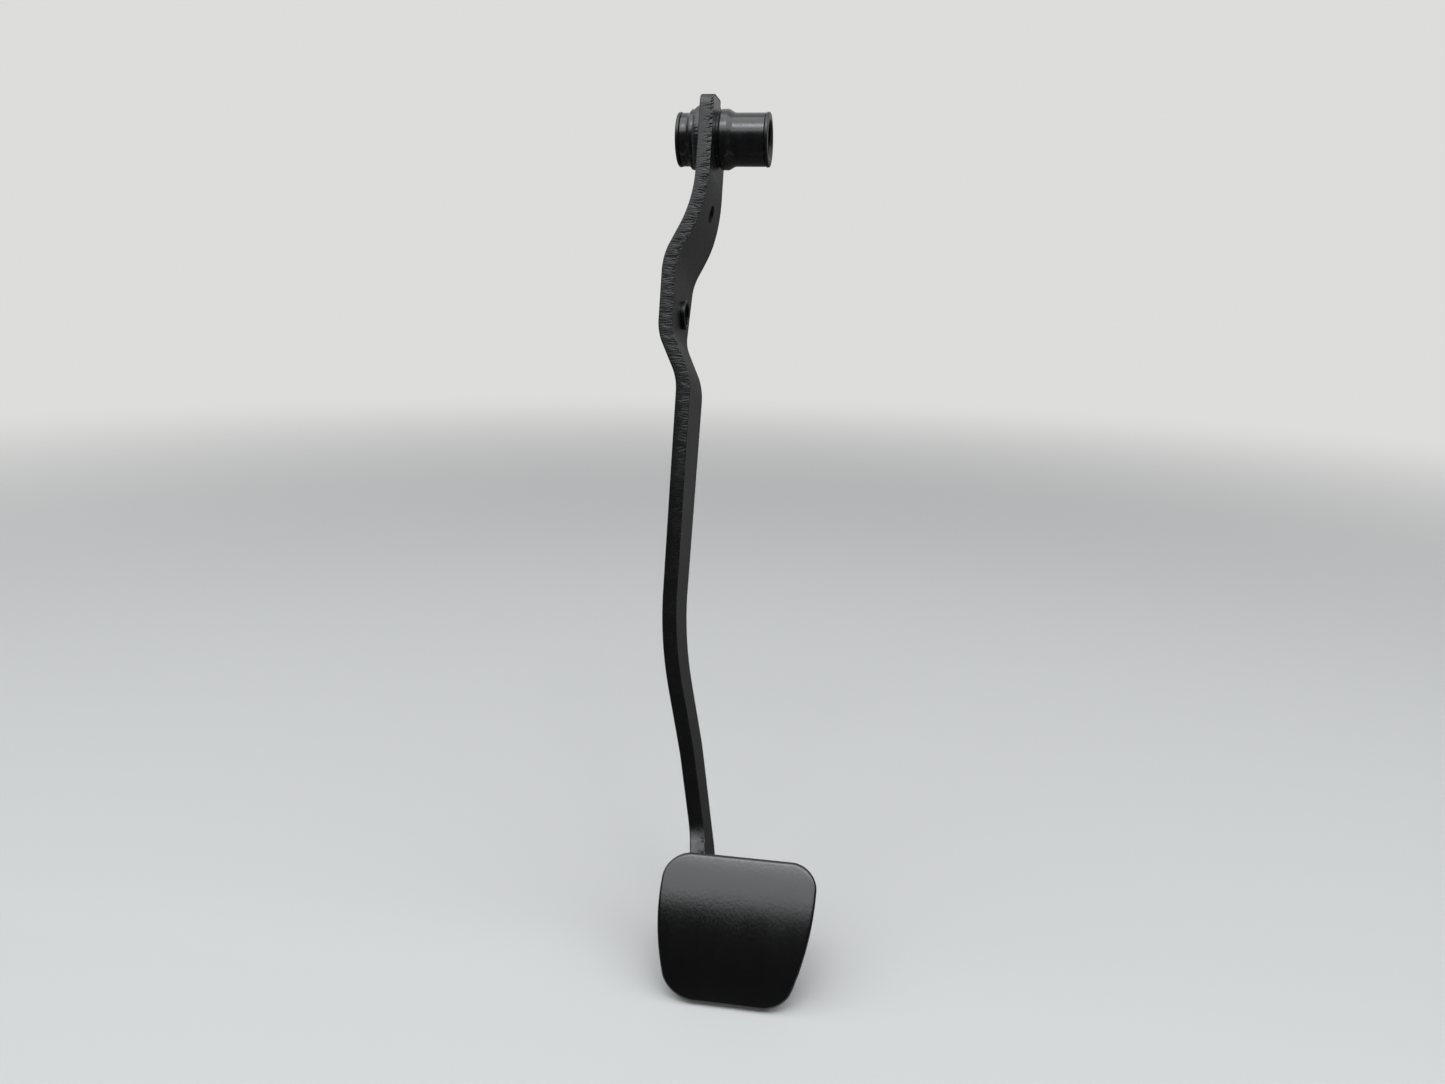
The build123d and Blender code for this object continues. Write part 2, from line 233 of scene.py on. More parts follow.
def skin(name, grid, round_rows, finish, poles=False):
    """A closed mesh from a grid of points that wraps round along its columns; its rows wrap too, or end
    in flat caps, or in poles where all points of the end rows are one. Faces are turned outwards, by
    the sign of the volume, which is the sum of a . (b x c) over the triangles."""
    rows, columns = grid.shape[:2]
    index = np.arange(rows * columns).reshape(rows, columns)
    points = grid.reshape(-1, 3)
    after = np.roll(index, -1, axis=0) if round_rows else index[1:]
    here = index if round_rows else index[:-1]
    quads = np.stack([here, np.roll(here, -1, axis=1), np.roll(after, -1, axis=1), after], -1)
    quads = quads.reshape(-1, 4)
    if poles:
        first, last = index[0, 0], index[-1, 0]
        quads = np.where(quads < columns, first, np.where(quads >= last, last, quads))
    corner = points[quads] - points.mean(0)
    first_half = (np.cross(corner[:, 0], corner[:, 1]) * corner[:, 2]).sum()
    second_half = (np.cross(corner[:, 0], corner[:, 2]) * corner[:, 3]).sum()
    volume = first_half + second_half
    if volume < 0:
        quads = quads[:, ::-1]
    faces = [list(dict.fromkeys(f)) for f in quads.tolist()]
    if poles:
        used = np.unique(np.concatenate([np.unique(quads), index[0, :1]]))
        number = np.full(rows * columns, -1)
        number[used] = np.arange(len(used))
        faces = [[int(number[i]) for i in f] for f in faces]
        points = points[used]
    elif not round_rows:
        caps = [index[0].tolist(), index[-1].tolist()[::-1]]
        faces += [c[::-1] for c in caps] if volume > 0 else caps
    return new_piece(name, points, faces, finish)


def written(piece, name, values):
    """Gives a piece a number at each of its points, for its finish to read."""
    numbers = np.ascontiguousarray(values, np.float32).reshape(-1)
    piece.data.attributes.new(name, "FLOAT", "POINT").data.foreach_set("value", numbers)


def sheared_rim(name, outline, radii, seed, step, columns, tearing, notching, lift):
    """The rim carried along the blank's outline: across it, a goes from the left corner at -1 to the
    right corner at +1. Height = lift - torn band * ridges - notches at the right corner, falling away
    round both corners; the ridges are |cos| valleys whose spacing and depth wander. Tearing, notching
    and lift each give places down the lever and the values there."""
    valley_spacing, notch_spacing = 1.25, 2.1
    valley_depth, crumb_depth, burnish_depth, notch_depth = 0.26, 0.04, 0.05, 0.45
    full_lift, deepest, drag_height = 0.32, -0.1, 0.004
    corner, skin_depth, overhang = 0.6, 0.75, 0.03
    path = rounded_line(outline, radii, step)
    along = np.concatenate([[0.0], np.cumsum(np.linalg.norm(np.diff(path, axis=0), axis=1))])
    even = np.arange(0.0, along[-1], step)
    path = np.stack([np.interp(even, along, path[:, 0]), np.interp(even, along, path[:, 1])], 1)
    tangent = np.gradient(path, axis=0)
    tangent /= np.linalg.norm(tangent, axis=1)[:, None]
    outward = np.stack([-tangent[:, 1], tangent[:, 0]], 1)
    a = np.sin(np.linspace(-math.pi / 2, math.pi / 2, columns))[None, :] * 0.999
    run = even[:, None] + 0 * a
    a = a + 0 * run
    place = path[:, 0]
    torn = np.interp(place, *tearing)[:, None]
    cut = np.interp(place, *notching)[:, None]
    stand = np.interp(place, *lift)[:, None]

    # The torn band covers the right half, with an uneven border to the smooth one
    border = waves(run, a, seed, count=5, low=4, high=12)
    band = 1 / (1 + np.exp(-(a + 0.12 + 0.16 * border) * 8))

    # Ridges across the torn band, crumbs in it, and faint drag lines along the whole rim
    wander = (0.30 * waves(run, a * 4, seed + 1, count=8, low=3.0, high=9.0, slant=0.35)
              + 0.30 * a * waves(run, a, seed + 2, count=5, low=5.0, high=14.0, slant=0.0))
    valley = np.abs(np.cos(math.pi * (run / valley_spacing + wander))) ** 1.5
    patch = 0.62 + 0.38 * waves(run, a * 3, seed + 3, count=9, low=2.0, high=7.0, slant=0.5)
    patch = np.clip(patch, 0.1, 1.25)
    crumbs = waves(run, a * 3, seed + 4, count=18, low=0.55, high=1.3, slant=0.5)
    drag = waves(a * 3.2, run, seed + 5, count=10, low=0.35, high=1.2, slant=0.01)
    burnish = waves(run, a, seed + 6, count=12, low=0.8, high=2.4, slant=0.2)
    deep = (torn * band * (valley_depth * valley * patch + crumb_depth * (1 - crumbs))
            + 0.25 * torn * (1 - band) * burnish_depth * (1 + burnish))

    # Notches at the right corner, each with its own size
    flat = 0 * even
    shift = 0.22 * waves(even, flat, seed + 7, count=7, low=4.0, high=12.0, slant=0.0)
    tick = np.abs(np.cos(math.pi * (even / notch_spacing + shift)))[:, None] ** 4
    size = 0.85 + 0.40 * waves(even, flat, seed + 8, count=7, low=3.0, high=9.0, slant=0.0)
    size = np.clip(size, 0.25, 1.4)[:, None]
    bite = cut * tick * size / (1 + np.exp(-(a - 0.84 + 0.24 * size) * 20))

    # Height of the rim, its fall round the corners, and its place in the pedal
    height = np.maximum(stand - stand / full_lift * (deep + notch_depth * bite), deepest)
    height = height + drag_height * drag
    half = plate_thickness / 2
    reach = np.clip(np.abs(a) * half - (half - corner), 0, corner)
    fall = corner - np.sqrt(np.maximum(corner ** 2 - reach ** 2, 0))
    fall = np.where(a > 0, fall * 0.5, fall)
    offset, slope = lever_middle(path[:, 0])
    sideways = offset[:, None] + a * (half + overhang) * np.sqrt(1 + slope[:, None] ** 2)

    def spot(rise):
        at = path[:, None, :] + outward[:, None, :] * rise[..., None]
        return at[..., :1] * down + at[..., 1:] * ahead + sideways[..., None] * cross_axis

    ring = np.concatenate([spot(height - fall), spot(0 * height - skin_depth)[:, ::-7]], axis=1)
    piece = skin(name, ring, False, rim_paint)
    under = ((0, 0), (0, ring.shape[1] - columns))
    # Mask of the ridge bottoms and notches: there the finish loses gloss and paints shade in black
    hollow_and_painted_shade = np.clip(torn * band * valley * patch * 0.85 + 3.5 * bite, 0, 1)
    written(piece, "torn", np.pad(torn * (0.25 + 0.75 * band), under))
    written(piece, "hollow_and_painted_shade", np.pad(hollow_and_painted_shade, under))
    return piece


def rim_finish():
    """The plate's coat; where the attributes say torn it is duller and greyer, and where they mark the
    bottoms of ridges and notches the gloss is lost and the colour goes to black, as painted shade."""
    mat = coated("sheared_rim_paint", linear(11, 11, 11), linear(17, 17, 17),
                 spread=0.24, grain=1500.0, cloud=90.0, depth=0.7, ior=1.46)
    tree = mat.node_tree
    shader = tree.nodes["Principled BSDF"]
    tear = wire_up(tree, "ShaderNodeAttribute", "torn", set_attribute_name="torn")
    hollow_and_painted_shade = wire_up(tree, "ShaderNodeAttribute", "hollow_and_painted_shade", set_attribute_name="hollow_and_painted_shade")
    rough = shader.inputs["Roughness"].links[0].from_socket
    duller = wire_up(tree, "ShaderNodeMath", "duller where torn", set_operation="MULTIPLY_ADD",
                     in_0=tear.outputs["Fac"], in_1=0.10, in_2=rough)
    lost = wire_up(tree, "ShaderNodeMath", "gloss lost in hollows", set_operation="MULTIPLY_ADD",
                   in_0=hollow_and_painted_shade.outputs["Fac"], in_1=0.6, in_2=duller.outputs[0])
    tree.links.new(lost.outputs[0], shader.inputs["Roughness"])
    colour = shader.inputs["Base Color"].links[0].from_socket
    greyer = wire_up(tree, "ShaderNodeMix", "greyer where torn", set_data_type="RGBA",
                     in_0=tear.outputs["Fac"], in_6=colour, in_7=linear(27, 27, 28))
    # Painted shade: the colour goes to black at the bottoms of the ridges and in the notches
    painted_hollow_shade = wire_up(tree, "ShaderNodeMix", "painted shade in hollows", set_data_type="RGBA",
                      in_0=hollow_and_painted_shade.outputs["Fac"], in_6=greyer.outputs[2], in_7=linear(5, 5, 5))
    tree.links.new(painted_hollow_shade.outputs[2], shader.inputs["Base Color"])
    return mat


rim_paint = rim_finish()

# The toe is cut to the back of the foot plate, a curve about an axis along the pivot's direction
foot_radius, foot_thickness = 110.0, 3.5
foot_place, foot_ahead, foot_half_height = 354.6, 40.2, 30.0
foot_lean, foot_joint_top = 30.0, 3.0
foot_tilt = foot_lean - lever_lean
foot_back_radius = foot_radius - foot_thickness
foot_axis_place = foot_place + foot_radius * math.sin(math.radians(foot_tilt))
foot_axis_ahead = foot_ahead - foot_radius * math.cos(math.radians(foot_tilt))
top_angle = (foot_tilt + math.degrees(math.asin(foot_half_height / foot_radius))
             - math.degrees(foot_joint_top / foot_back_radius))
toe = (foot_axis_place - foot_back_radius * math.sin(math.radians(top_angle)),
       foot_axis_ahead + foot_back_radius * math.cos(math.radians(top_angle)))

front_edge, lug_front, lug_top, lug_back, head_top, head_back = 20.0, 13.5, 17.8, 2.0, 14.8, 18.0
flare_place = 320.0
lug_root_radius, lug_back_radius, lug_front_radius, flare_radius = 1.0, 1.3, 3.5, 14.0
sheared_rim(
    "sheared_front_edge",
    outline=[(-head_top, 0.0), (-head_top, lug_back), (-lug_top, lug_back), (-lug_front, front_edge),
             (flare_place, front_edge), toe],
    radii=[lug_root_radius, lug_back_radius, lug_front_radius, flare_radius],
    seed=11, step=0.25, columns=43,
    tearing=([-18, 14, 20, 56, 90, 115, 165, 240, 314, 322, 350],
             [0.30, 0.35, 0.95, 1.0, 0.75, 0.5, 0.15, 0.03, 0.05, 0.5, 0.5]),
    notching=([-14, -10, 17, 21, 60, 110, 140, 318, 330],
              [0.2, 1.0, 1.0, 0.35, 0.3, 0.15, 0.0, 0.0, 0.4]),
    lift=([-13, -9, 200, 300, 315, 322], [0.02, 0.32, 0.32, 0.05, 0.05, 0.22]))

heel, ankle, shin = (362.0, 21.2), (334.0, 0.8), (215.0, -5.8)
knee, belly, waist = (106.0, -13.5), (55.0, -27.0), (25.0, -17.8)
ankle_radius, shin_radius, knee_radius = 20.0, 200.0, 150.0
belly_radius, waist_radius, head_back_radius = 45.0, 40.0, 12.0
sheared_rim(
    "sheared_back_edge",
    outline=[heel, ankle, shin, knee, belly, waist, (-head_top, -head_back), (-head_top, 0.0)],
    radii=[ankle_radius, shin_radius, knee_radius, belly_radius, waist_radius, head_back_radius],
    seed=23, step=0.35, columns=36,
    tearing=([-18, 0, 56, 90, 165, 240], [0.5, 0.9, 0.9, 0.7, 0.3, 0.1]),
    notching=([-18, 0, 60, 120], [0.2, 0.5, 0.5, 0.0]),
    lift=([-5, 12, 200, 300], [0.02, 0.28, 0.28, 0.05]))


# Pivot tube. It is a steel tube with a collar formed each side of the lever, turned bright in
# the lathe before it was coated, so a very fine thread of tool marks runs round it.

tube_paint = coated("tube_paint", linear(15, 15, 16), linear(21, 21, 22),
                    spread=0.22, grain=700.0, cloud=60.0, depth=0.5, stretch=(6.0, 0.6, 0.6))


def turned(name, corners, rounding, centre, finish, node, around=192):
    """A turned piece: a closed profile of (x, radius) corners, each with its rounding, carried round
    the X axis through a centre, as (x, r cos t, r sin t). The profile starts halfway along a side."""
    corners = np.array(corners, float)
    start = (corners[0] + corners[-1]) / 2
    profile = rounded_line(np.concatenate([[start], corners, [start]]), rounding, step=0.4)[:-1]
    turns = np.linspace(0, 2 * math.pi, around + 1)[:-1]
    r = profile[:, 1, None]
    grid = np.stack([profile[:, :1] + 0 * turns, r * np.cos(turns), r * np.sin(turns)], -1) + centre
    piece = skin(name, grid, True, finish)
    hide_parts(node)
    return piece


tube_end, tube_bore, tube_radius = 20.0, 10.0, 12.0
collar_radius, undercut_radius = 13.65, 12.75
left_face, right_face = -9.15, -2.65
left_taper_start, left_taper_end = -16.45, -15.05
undercut_end, right_taper_start, right_taper_end = -1.15, 2.35, 5.25
turned("tube",
       [(-tube_end, tube_bore), (-tube_end, tube_radius), (left_taper_start, tube_radius),
        (left_taper_end, collar_radius), (left_face, collar_radius), (left_face, tube_radius),
        (right_face, tube_radius), (right_face, undercut_radius), (undercut_end, undercut_radius),
        (undercut_end, collar_radius), (right_taper_start, collar_radius),
        (right_taper_end, tube_radius), (tube_end, tube_radius), (tube_end, tube_bore)],
       [0.2, 0.55, 1.2, 0.9, 0.1, 0.1, 0.1, 0.1, 0.2, 0.5, 2.2, 3.0, 0.55, 0.2],
       np.zeros(3), tube_paint, "pivot_tube")


# Pivot bushes. Each is moulded in black plastic with a flange, pushed into the end of the tube;
# the moulding has a fine eggshell surface, and its flange stops a hair short of the tube's end.

def moulded(name, tone, lighter, spread, depth):
    """Moulded plastic: a fine eggshell from the shared coat, which mirrors a little less than paint."""
    return coated(name, tone, lighter, spread, grain=1800.0, cloud=120.0, depth=depth, ior=1.5)


pivot_bush_plastic = moulded("pivot_bush_plastic", linear(13, 13, 13), linear(20, 20, 19),
                             spread=0.34, depth=0.5)
bush_start, bush_bore, sleeve_radius = 6.0, 8.0, 9.98
flange_inner, flange_outer, flange_radius = 20.1, 21.7, 12.3
mouth_start, mouth_radius = 20.7, 9.0
for side, side_name in ((-1, "left"), (1, "right")):
    turned("flanged_bush_" + side_name,
           [(side * bush_start, bush_bore), (side * bush_start, sleeve_radius),
            (side * flange_inner, sleeve_radius), (side * flange_inner, flange_radius),
            (side * flange_outer, flange_radius), (side * flange_outer, mouth_radius),
            (side * mouth_start, bush_bore)],
           [0.2, 0.3, 0.1, 0.35, 0.55, 0.3, 0.3],
           np.zeros(3), pivot_bush_plastic, side_name + "_pivot_bush")


# Pushrod bush. A smaller bush of satin black plastic, with its head on the right of the lever
# and its lip spread on the left, that takes the clevis pin of the pushrod.

pushrod_bush_plastic = moulded("pushrod_bush_plastic", linear(7, 7, 7), linear(11, 11, 11),
                               spread=0.33, depth=0.25)
pushrod_place, pushrod_back = 83.0, 3.6
pin_radius, pushrod_sleeve, lip_radius, head_radius = 5.0, 6.0, 6.6, 6.9
lip_end, seat, head_outer, head_mouth, head_mouth_radius = -4.05, 3.25, 5.25, 4.85, 5.4
turned("headed_bush",
       [(lip_end, pin_radius), (lip_end, lip_radius), (-seat, lip_radius), (-seat, pushrod_sleeve),
        (seat, pushrod_sleeve), (seat, head_radius), (head_outer, head_radius),
        (head_outer, head_mouth_radius), (head_mouth, pin_radius)],
       [0.3, 0.35, 0.1, 0.1, 0.1, 0.1, 0.6, 0.3, 0.3],
       pushrod_place * down - pushrod_back * ahead + joggle_offset * cross_axis,
       pushrod_bush_plastic, "pushrod_bush")


# Foot plate. It is cut from sheet steel and pressed into a curve from top to bottom, so its front
# edge is rolled over and its cut sides are rough and dull. The grain of the sheet shows faintly
# under the coat, drawn out a little from top to bottom.

def plate_finish():
    """The coat with drawn-out grain; the cut sides, marked by an attribute, are dull and painted darker as
    edge shade.
    """
    mat = coated("foot_plate_paint", linear(10, 10, 10), linear(14, 14, 15),
                 spread=0.20, grain=1100.0, cloud=34.0, depth=1.7, stretch=(1.5, 0.65, 0.65))
    tree = mat.node_tree
    shader = tree.nodes["Principled BSDF"]
    rough = shader.inputs["Roughness"].links[0].from_socket
    colour = shader.inputs["Base Color"].links[0].from_socket
    cut = wire_up(tree, "ShaderNodeAttribute", "cut side", set_attribute_name="cut_side_and_painted_shade")
    dull = wire_up(tree, "ShaderNodeMath", "dull on the cut", set_operation="MULTIPLY_ADD",
                   in_0=cut.outputs["Fac"], in_1=0.5, in_2=rough)
    # Painted shade: the colour of the cut sides is darkened, standing in for the dark line along the edges
    dark = wire_up(tree, "ShaderNodeMix", "painted shade on the cut", set_data_type="RGBA",
                   in_0=cut.outputs["Fac"], in_6=colour, in_7=linear(6, 6, 6))
    tree.links.new(dull.outputs[0], shader.inputs["Roughness"])
    tree.links.new(dark.outputs[2], shader.inputs["Base Color"])
    return mat


foot_half_top, foot_bottom_right, foot_bottom_left, side_bulge = 32.5, 22.0, -26.1, 4.0
top_corner, bottom_right_corner, bottom_left_corner = 11.0, 8.0, 10.0
foot_offset = 32.3


def plate_outline(turns):
    """Distance from the plate's middle to its outline in each direction, by halving: a point is inside
    while max(top, side) stays under zero, where two sides meet in a corner of radius r as
    |max(g1 + r, 0), max(g2 + r, 0)| = r; the sides are arcs that bow out by the side bulge."""
    right_ends = (foot_half_top, foot_half_height), (foot_bottom_right, -foot_half_height)
    left_ends = (-foot_half_top, foot_half_height), (foot_bottom_left, -foot_half_height)

    def outside(u, v):
        result = np.full_like(u, -99.0)
        ends = {"top": v - foot_half_height, "bottom": -foot_half_height - v}
        for (near, far), sign, low_corner in ((right_ends, 1, bottom_right_corner),
                                              (left_ends, -1, bottom_left_corner)):
            near, far = np.array(near), np.array(far)
            half_chord = np.linalg.norm(near - far) / 2
            bow = (half_chord ** 2 + side_bulge ** 2) / (2 * side_bulge)
            chord = (near - far) / (2 * half_chord)
            inward = sign * np.array([-chord[1], chord[0]])
            centre = (near + far) / 2 + inward * (bow - side_bulge)
            flank = np.hypot(u - centre[0], v - centre[1]) - bow
            for end, r in (("top", top_corner), ("bottom", low_corner)):
                g = np.hypot(np.maximum(flank + r, 0), np.maximum(ends[end] + r, 0)) - r
                within = np.minimum(np.maximum(flank, ends[end]), 0) - 1e-9
                result = np.maximum(result, np.maximum(within, g))
        return result

    low, high = 0 * turns, 0 * turns + 60.0
    for _ in range(40):
        half = (low + high) / 2
        out = outside(half * np.cos(turns), half * np.sin(turns)) > 0
        low, high = np.where(out, low, half), np.where(out, half, high)
    return low


def pressed_plate(name, around=512):
    """The plate as rings from the middle of its front, over the rolled edge, down the cut side and back
    to the middle of its rear. A ring is the outline drawn in by an inset, at a depth w under the
    front; the curve drops it by R - sqrt((R - w)^2 - v^2), with R the foot radius. The cut sides are
    dull and painted darker as edge shade, except along the bottom, which keeps its sheen, so the cut
    side's attribute fades to nothing just above the bottom."""
    front_roll, back_roll = 1.15, 0.35
    cut_from, cut_fade, bottom_edge, bottom_fade = 0.12, 0.5, 26.0, 6.0
    turns = np.linspace(0, 2 * math.pi, around + 1)[:-1]
    reach = plate_outline(turns)
    rim = np.stack([reach * np.cos(turns), reach * np.sin(turns)], -1)
    tangent = np.roll(rim, -1, axis=0) - np.roll(rim, 1, axis=0)
    tangent /= np.linalg.norm(tangent, axis=1)[:, None]
    out = np.stack([tangent[:, 1], -tangent[:, 0]], -1)
    rolled = np.radians(np.linspace(0, 90, 9))
    inset = np.concatenate([front_roll * (1 - np.sin(rolled)), [0.0, 0.0],
                            back_roll * (1 - np.sin(rolled[::-1]))])
    depth = np.concatenate([front_roll * (1 - np.cos(rolled)), [1.8, 2.6],
                            foot_thickness - back_roll * (1 - np.cos(rolled[::-1]))])
    shrink = np.concatenate([[0.0], np.linspace(0.04, 0.98, 26)])
    inner = (rim - out * front_roll)[None] * shrink[:, None, None]
    behind = (rim - out * back_roll)[None] * shrink[::-1, None, None]
    flat = np.concatenate([inner, rim[None] - out[None] * inset[:, None, None], behind])
    w = np.concatenate([0 * shrink, depth, 0 * shrink + foot_thickness])[:, None]
    u, v = flat[..., 0], flat[..., 1]
    drop = foot_radius - np.sqrt((foot_radius - w) ** 2 - v ** 2)
    tilt = math.radians(foot_lean)
    middle_front = foot_place * down + foot_ahead * ahead + foot_offset * cross_axis
    up_plate = np.array([0.0, math.sin(tilt), math.cos(tilt)])
    facing = np.array([0.0, -math.cos(tilt), math.sin(tilt)])
    grid = middle_front + u[..., None] * cross_axis + v[..., None] * up_plate - drop[..., None] * facing
    piece = skin(name, grid, False, foot_plate_paint, poles=True)
    # Cut sides: dull, with painted edge shade in their colour; the bottom cut is left out
    side = np.concatenate([0 * shrink, np.clip((depth - cut_from) / cut_fade, 0, 1), 0 * shrink])
    side = side[:, None] * np.clip((v + bottom_edge) / bottom_fade, 0.0, 1.0)
    written(piece, "cut_side_and_painted_shade", np.concatenate([side[0, :1], side[1:-1].reshape(-1), side[-1, :1]]))
    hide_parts("foot_plate")
    return piece


foot_plate_paint = plate_finish()
pressed_plate("pressed_foot_plate")


# Welds. The lever is welded to the foot plate by a bead down each side, and to the tube's left
# collar by a bead round the front. The beads were laid by hand before coating and keep their
# ripples under it.

def bead(name, centre, frame_a, frame_b, radius, ripple_depth, node, around=32):
    """A bead carried along its seam: round section of a radius that swells and shrinks as the pool
    froze, in ripples that lag behind at the edges of the bead; its ends close in a half round."""
    ripple_spacing, steady, swell = 1.5, 0.97, 0.03
    turns = np.linspace(0, 2 * math.pi, around + 1)[:-1]
    n = len(centre)
    along = np.concatenate([[0.0], np.cumsum(np.linalg.norm(np.diff(centre, axis=0), axis=1))])
    lag = 0.25 * np.sin(turns)[None, :] ** 2
    ripple = np.abs(np.sin(math.pi * (along[:, None] / ripple_spacing + lag)))
    pool = waves(along[:, None], np.zeros((1, 1)), seed=5, count=5, low=5, high=14, slant=0.0)
    width = np.minimum(steady + swell * pool, 1.0)
    size = radius * (1 - ripple_depth * (1 - ripple)) * width
    half = (n - 1) / 2
    end = np.sqrt(np.clip(1 - ((np.arange(n) - half) / half) ** 18, 0.0, 1))
    size = size * np.maximum(end, 0.02)[:, None]
    ring = centre[:, None, :] + size[..., None] * (
        np.cos(turns)[None, :, None] * frame_a[:, None, :]
        + np.sin(turns)[None, :, None] * frame_b[:, None, :])
    index = np.arange(n * around).reshape(n, around)
    right = np.roll(index, -1, axis=1)
    quads = np.stack([index[:-1], index[1:], right[1:], right[:-1]], -1).reshape(-1, 4)
    caps = [index[0].tolist(), index[-1, ::-1].tolist()]
    piece = new_piece(name, ring.reshape(-1, 3), quads.tolist() + caps, weld_paint)
    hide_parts(node)
    return piece


weld_paint = coated("weld_paint", linear(20, 20, 21), linear(30, 30, 31),
                    spread=0.30, grain=1600.0, cloud=160.0, depth=0.7)

foot_weld_start, foot_weld_end, foot_weld_leg = 335.9, 360.0, 3.2
for side, side_name in ((-1, "left"), (1, "right")):
    place = np.linspace(foot_weld_start, foot_weld_end, 120)
    sideways, slope = lever_middle(place)
    back_of_plate = foot_axis_ahead + np.sqrt(foot_back_radius ** 2 - (foot_axis_place - place) ** 2)
    seam = place[:, None] * down + back_of_plate[:, None] * ahead
    seam[:, 0] += sideways + side * plate_thickness / 2 * np.sqrt(1 + slope ** 2)
    forward = np.gradient(seam, axis=0)
    forward /= np.linalg.norm(forward, axis=1)[:, None]
    across = np.cross(forward, side * cross_axis)
    across /= np.linalg.norm(across, axis=1)[:, None]
    bead("foot_bead_" + side_name, seam, np.cross(across, forward), across,
         radius=foot_weld_leg, ripple_depth=0.07, node="foot_plate_weld_" + side_name)

hub_bead_start, hub_bead_end, hub_bead_radius, hub_bead_broadening = 87.5, 344.5, 2.55, 1.75
angle = np.radians(np.linspace(hub_bead_start, hub_bead_end, 420))
round_tube = np.stack([0 * angle, np.cos(angle), np.sin(angle)], 1)
bead("hub_bead", round_tube * collar_radius + left_face * cross_axis,
     np.tile(hub_bead_broadening * cross_axis, (len(angle), 1)), round_tube,
     radius=hub_bead_radius, ripple_depth=0.02, node="hub_weld")


# Studio. A plain pale floor under the foot plate, a broad soft light overhead, and dark cards on
# the floor and a dark curtain round the room that only reflections see. The curtain is paler
# higher up and behind, and ends below the soft light.

lowest = min(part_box(n)[0].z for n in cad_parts)


def stage_surface(name, grid, mat):
    """A stage surface from a grid of points."""
    rows, columns = grid.shape[:2]
    index = np.arange(rows * columns).reshape(rows, columns)
    quads = np.stack([index[:-1, :-1], index[1:, :-1], index[1:, 1:], index[:-1, 1:]], -1).reshape(-1, 4)
    mesh = bpy.data.meshes.new(name)
    mesh.from_pydata(grid.reshape(-1, 3).tolist(), [], quads.tolist())
    mesh.update()
    surface = bpy.data.objects.new(name, mesh)
    bpy.context.scene.collection.objects.link(surface)
    mesh.materials.append(mat)
    return surface


backdrop = (0.72, 0.72, 0.71, 1.0)
floor_half, floor_gap = 6.0, 0.0002
floor_mat = bpy.data.materials.new("pale_floor")
floor_mat.use_nodes = True
tree = floor_mat.node_tree
shader = tree.nodes["Principled BSDF"]
shader.inputs["Base Color"].default_value = (0.60, 0.60, 0.595, 1.0)
shader.inputs["Roughness"].default_value = 0.9
shader.inputs["Specular IOR Level"].default_value = 0.1
coords = wire_up(tree, "ShaderNodeTexCoord", "place")
far = wire_up(tree, "ShaderNodeVectorMath", "distance", set_operation="LENGTH",
              in_0=coords.outputs["Object"])
fade = wire_up(tree, "ShaderNodeMapRange", "fade", Value=far.outputs["Value"],
               From_Min=0.7, From_Max=2.2, set_interpolation_type="SMOOTHSTEP")
glow = wire_up(tree, "ShaderNodeEmission", "backdrop", Color=backdrop, Strength=1.0)
seen = wire_up(tree, "ShaderNodeLightPath", "seen by")
straight = wire_up(tree, "ShaderNodeMath", "straight", set_operation="MAXIMUM",
                   in_0=seen.outputs["Is Camera Ray"], in_1=seen.outputs["Is Glossy Ray"])
both = wire_up(tree, "ShaderNodeMath", "both", set_operation="MULTIPLY",
               in_0=straight.outputs[0], in_1=fade.outputs["Result"])
mix = wire_up(tree, "ShaderNodeMixShader", "floor into backdrop", in_0=both.outputs[0],
              in_1=shader.outputs["BSDF"], in_2=glow.outputs["Emission"])
tree.links.new(mix.outputs["Shader"], tree.nodes["Material Output"].inputs["Surface"])
x, y = np.meshgrid(np.linspace(-floor_half, floor_half, 13), np.linspace(-floor_half, floor_half, 13),
                   indexing="ij")
stage_surface("floor", np.stack([x, y, 0 * x + lowest - floor_gap], -1), floor_mat)

curtain_radius, curtain_top, card_half, card_gap = 2.4, 1.25, 1.6, 0.0005
curtain_mat = bpy.data.materials.new("dark_curtain")
curtain_mat.use_nodes = True
tree = curtain_mat.node_tree
tree.nodes.remove(tree.nodes["Principled BSDF"])
coords = wire_up(tree, "ShaderNodeTexCoord", "place")
parts = wire_up(tree, "ShaderNodeSeparateXYZ", "parts", Vector=coords.outputs["Object"])
rise = wire_up(tree, "ShaderNodeMapRange", "paler higher up", Value=parts.outputs["Z"],
               From_Min=0.16, From_Max=0.42, To_Min=0.12, To_Max=0.62, set_interpolation_type="SMOOTHSTEP")
side = wire_up(tree, "ShaderNodeMapRange", "front to back", Value=parts.outputs["Y"], From_Min=-0.9,
               From_Max=0.9, To_Min=0.018, To_Max=rise.outputs["Result"], set_interpolation_type="SMOOTHSTEP")
cloth = wire_up(tree, "ShaderNodeEmission", "cloth", Color=(1.0, 1.0, 1.01, 1.0),
                Strength=side.outputs["Result"])
tree.links.new(cloth.outputs["Emission"], tree.nodes["Material Output"].inputs["Surface"])
turn, level = np.meshgrid(np.linspace(0, 2 * math.pi, 97), np.linspace(lowest, curtain_top, 9), indexing="ij")
curtain = np.stack([curtain_radius * np.cos(turn), curtain_radius * np.sin(turn), level], -1)
flags = [stage_surface("curtain", curtain, curtain_mat)]
for card_name, near, far in (("front_card", -0.152, -curtain_radius), ("back_card", -0.125, curtain_radius)):
    x, y = np.meshgrid(np.linspace(-card_half, card_half, 5), np.linspace(near, far, 5), indexing="ij")
    flags.append(stage_surface(card_name, np.stack([x, y, 0 * x + lowest + card_gap], -1), curtain_mat))
for flag in flags:
    flag.visible_camera = False
    flag.visible_diffuse = False
    flag.visible_transmission = False
    flag.visible_shadow = False


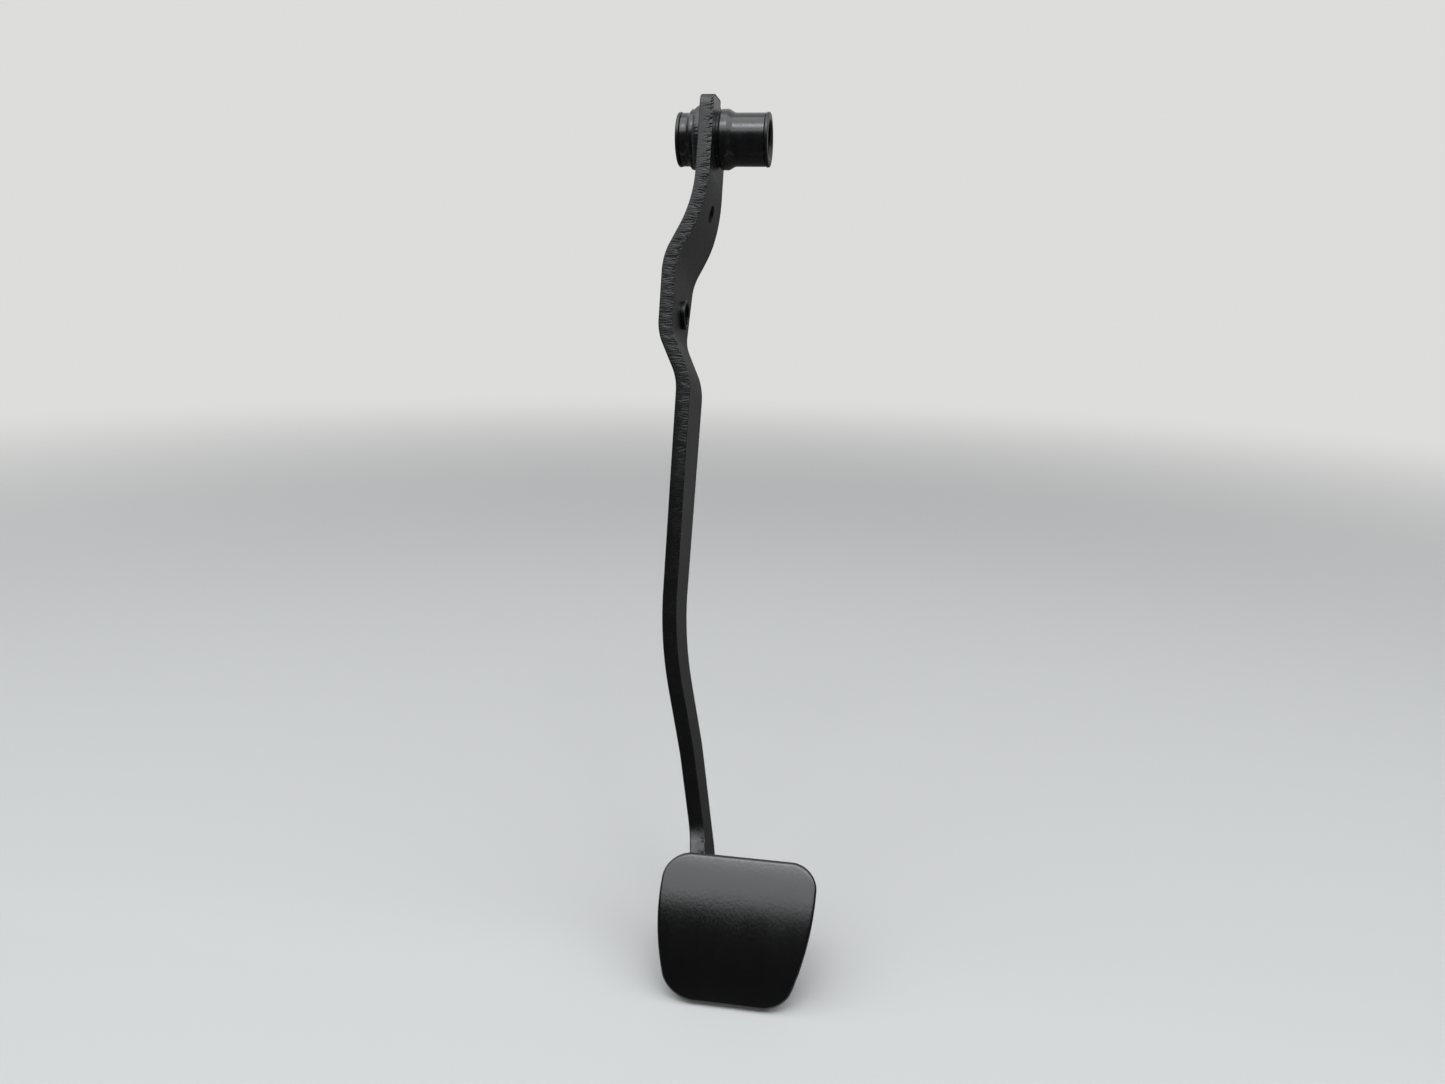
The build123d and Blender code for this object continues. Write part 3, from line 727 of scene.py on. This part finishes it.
def soft_light(name, place, aim, size, power, colour=(1.0, 1.0, 1.0)):
    """A rectangular soft light that looks at a point."""
    lamp = bpy.data.lights.new(name, "AREA")
    lamp.shape = "RECTANGLE"
    lamp.size, lamp.size_y = size
    lamp.energy = power
    lamp.color = colour
    lamp_object = bpy.data.objects.new(name, lamp)
    bpy.context.scene.collection.objects.link(lamp_object)
    lamp_object.location = place
    lamp_object.rotation_euler = (Vector(aim) - Vector(place)).to_track_quat("-Z", "Y").to_euler()
    return lamp_object


soft_light("ceiling_softbox", place=(0.1, -1.02, 1.5), aim=(0.1, -1.02, 0.0), size=(4.2, 2.76),
           power=60.0, colour=(0.955, 1.0, 1.035))
soft_light("top_strip", place=(0.1, -0.75, 1.2), aim=(0.0, 0.0, 0.0), size=(0.9, 0.35), power=5.0)

world = bpy.data.worlds.new("studio")
bpy.context.scene.world = world
world.use_nodes = True
tree = world.node_tree
room = tree.nodes["Background"]
room.inputs["Color"].default_value = (0.30, 0.30, 0.305, 1.0)
shown = wire_up(tree, "ShaderNodeBackground", "shown", Color=backdrop, Strength=1.0)
seen = wire_up(tree, "ShaderNodeLightPath", "seen by")
glossy = wire_up(tree, "ShaderNodeMath", "or mirrored", set_operation="MAXIMUM",
                 in_0=seen.outputs["Is Camera Ray"], in_1=seen.outputs["Is Glossy Ray"])
through = wire_up(tree, "ShaderNodeMath", "or through glass", set_operation="MAXIMUM",
                  in_0=glossy.outputs[0], in_1=seen.outputs["Is Transmission Ray"])
mix = wire_up(tree, "ShaderNodeMixShader", "room or backdrop", in_0=through.outputs[0],
              in_1=room.outputs["Background"], in_2=shown.outputs["Background"])
tree.links.new(mix.outputs["Shader"], tree.nodes["World Output"].inputs["Surface"])


# Camera. It stands close in front, a little to the right and level with the lever, and looks
# down by about 14 degrees; the pedal itself leans a little clockwise in the picture.

pitch, roll, yaw, own_roll = (math.radians(v) for v in (13.8, 0.43, 9.3, 1.5))
camera_place = (0.0850, -0.5343, -0.0628)
sensor_width, focal_length, picture_width = 36.0, 1080.0, 1445.0


def from_level(v):
    """A direction or place of the level room, in the pedal's own frame."""
    c, s = math.cos(own_roll), math.sin(own_roll)
    return Vector((c * v[0] - s * v[2], v[1], s * v[0] + c * v[2]))


forward = Vector((-math.sin(yaw) * math.cos(pitch), math.cos(yaw) * math.cos(pitch), -math.sin(pitch)))
rightward = Vector((math.cos(yaw), math.sin(yaw), 0.0))
upward = rightward.cross(forward)
right_turned = math.cos(roll) * rightward - math.sin(roll) * upward
up_turned = math.sin(roll) * rightward + math.cos(roll) * upward
camera_data = bpy.data.cameras.new("camera")
camera_data.sensor_width = sensor_width
camera_data.lens = sensor_width * focal_length / picture_width
camera_data.clip_start = 0.01
camera = bpy.data.objects.new("camera", camera_data)
bpy.context.scene.collection.objects.link(camera)
axes = Matrix([from_level(right_turned), from_level(up_turned), -from_level(forward)]).transposed().to_4x4()
camera.matrix_world = Matrix.Translation(from_level(camera_place)) @ axes
bpy.context.scene.camera = camera

bpy.context.scene.view_settings.view_transform = "Standard"
